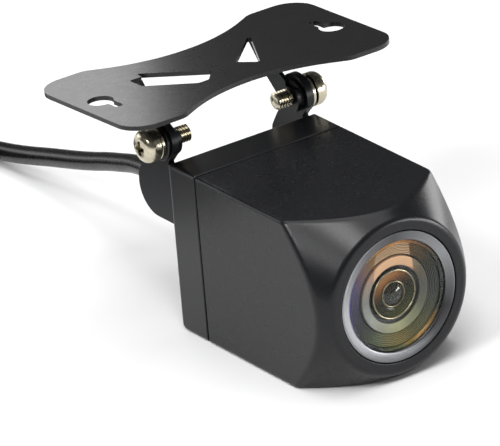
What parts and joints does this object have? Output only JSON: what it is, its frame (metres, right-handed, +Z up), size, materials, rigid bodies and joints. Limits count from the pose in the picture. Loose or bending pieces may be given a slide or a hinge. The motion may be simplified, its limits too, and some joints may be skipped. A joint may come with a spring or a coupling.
{
  "type": "backup camera",
  "caption": "Cube-bodied vehicle backup camera with a fisheye lens behind a round window, a hinged mounting plate on a rear bracket, and a lead ending in a round waterproof connector.",
  "frame": {"origin": "on the ground, under the middle of the camera, its bracket and its mounting plate", "axes": "the lens looks along -Y, +Z is up, and +X completes the right-handed frame, so that it points to the left-hand side of the camera's own forward view"},
  "size_m": [0.068, 0.1377, 0.0355],
  "materials": {
    "housing_paint": "satin black",
    "cover_paint": "satin black",
    "bracket_paint": "satin black powder coat",
    "plate_paint": "satin black powder coat",
    "bezel_metal": "circular brushed",
    "screw_steel": "nickel plated",
    "black_steel": "black oxide",
    "clear_glass": "polished, coated",
    "lens_glass": "polished, coated",
    "filter_glass": "polished",
    "black_metal": "black anodised",
    "black_plastic": "moulded",
    "black_rubber": "moulded",
    "seal_red": "moulded",
    "board_green": "solder mask",
    "chip_grey": "moulded",
    "cream_plastic": "moulded",
    "brass": "machined",
    "gold_pins": "gold plated",
    "cable_jacket": "smooth PVC jacket",
    "tie_plastic": "nylon"
  },
  "bodies": {
    "camera": {"front_housing": "housing_paint", "rear_cover": "cover_paint", "housing_seal": "black_rubber", "cover_screws": "screw_steel", "bezel_ring": "bezel_metal", "cover_glass": "clear_glass", "glass_seal": "black_rubber", "baffle_ring": "black_metal", "lens_retainer": "black_metal", "lens_barrel": "black_metal", "front_lens": "lens_glass", "lens_stop": "black_metal", "middle_lens": "lens_glass", "lens_spacer": "black_metal", "rear_lens": "lens_glass", "barrel_seal": "black_rubber", "lens_holder": "black_plastic", "ir_filter": "filter_glass", "image_sensor": "chip_grey", "sensor_board": "board_green", "board_spacers": "brass", "board_link": "black_plastic", "power_board": "board_green", "power_components": "chip_grey", "board_screws": "screw_steel", "cable_socket": "cream_plastic", "wire_plug": "cream_plastic", "inner_lead": "cable_jacket", "cable_gland": "black_rubber", "rear_bracket": "bracket_paint", "bracket_screws": "screw_steel", "camera_cable": "cable_jacket", "cable_coil": "cable_jacket", "coil_tie": "tie_plastic", "cable_tail": "cable_jacket", "connector_boot": "black_rubber", "connector_body": "black_plastic", "connector_pins": "gold_pins", "connector_seal": "seal_red"},
    "mount": {"mount_plate": "plate_paint", "plate_ears": "bracket_paint", "pivot_screws": "screw_steel", "friction_washers": "black_rubber", "flat_washers": "black_steel", "spring_washers": "screw_steel"},
    "coupling_nut": {"connector_nut": "black_plastic"}
  },
  "joints": [
    {"name": "mount_tilt", "type": "hinge", "parent": "camera", "child": "mount", "pos_m": [0, 0.01146, 0.0275], "axis": [1, 0, 0], "range_deg": [-80, 30]},
    {"name": "nut_spin", "type": "hinge", "parent": "camera", "child": "coupling_nut", "pos_m": [-0.0396, 0.046, 0.006], "axis": [0, -1, 0], "continuous": true}
  ]
}
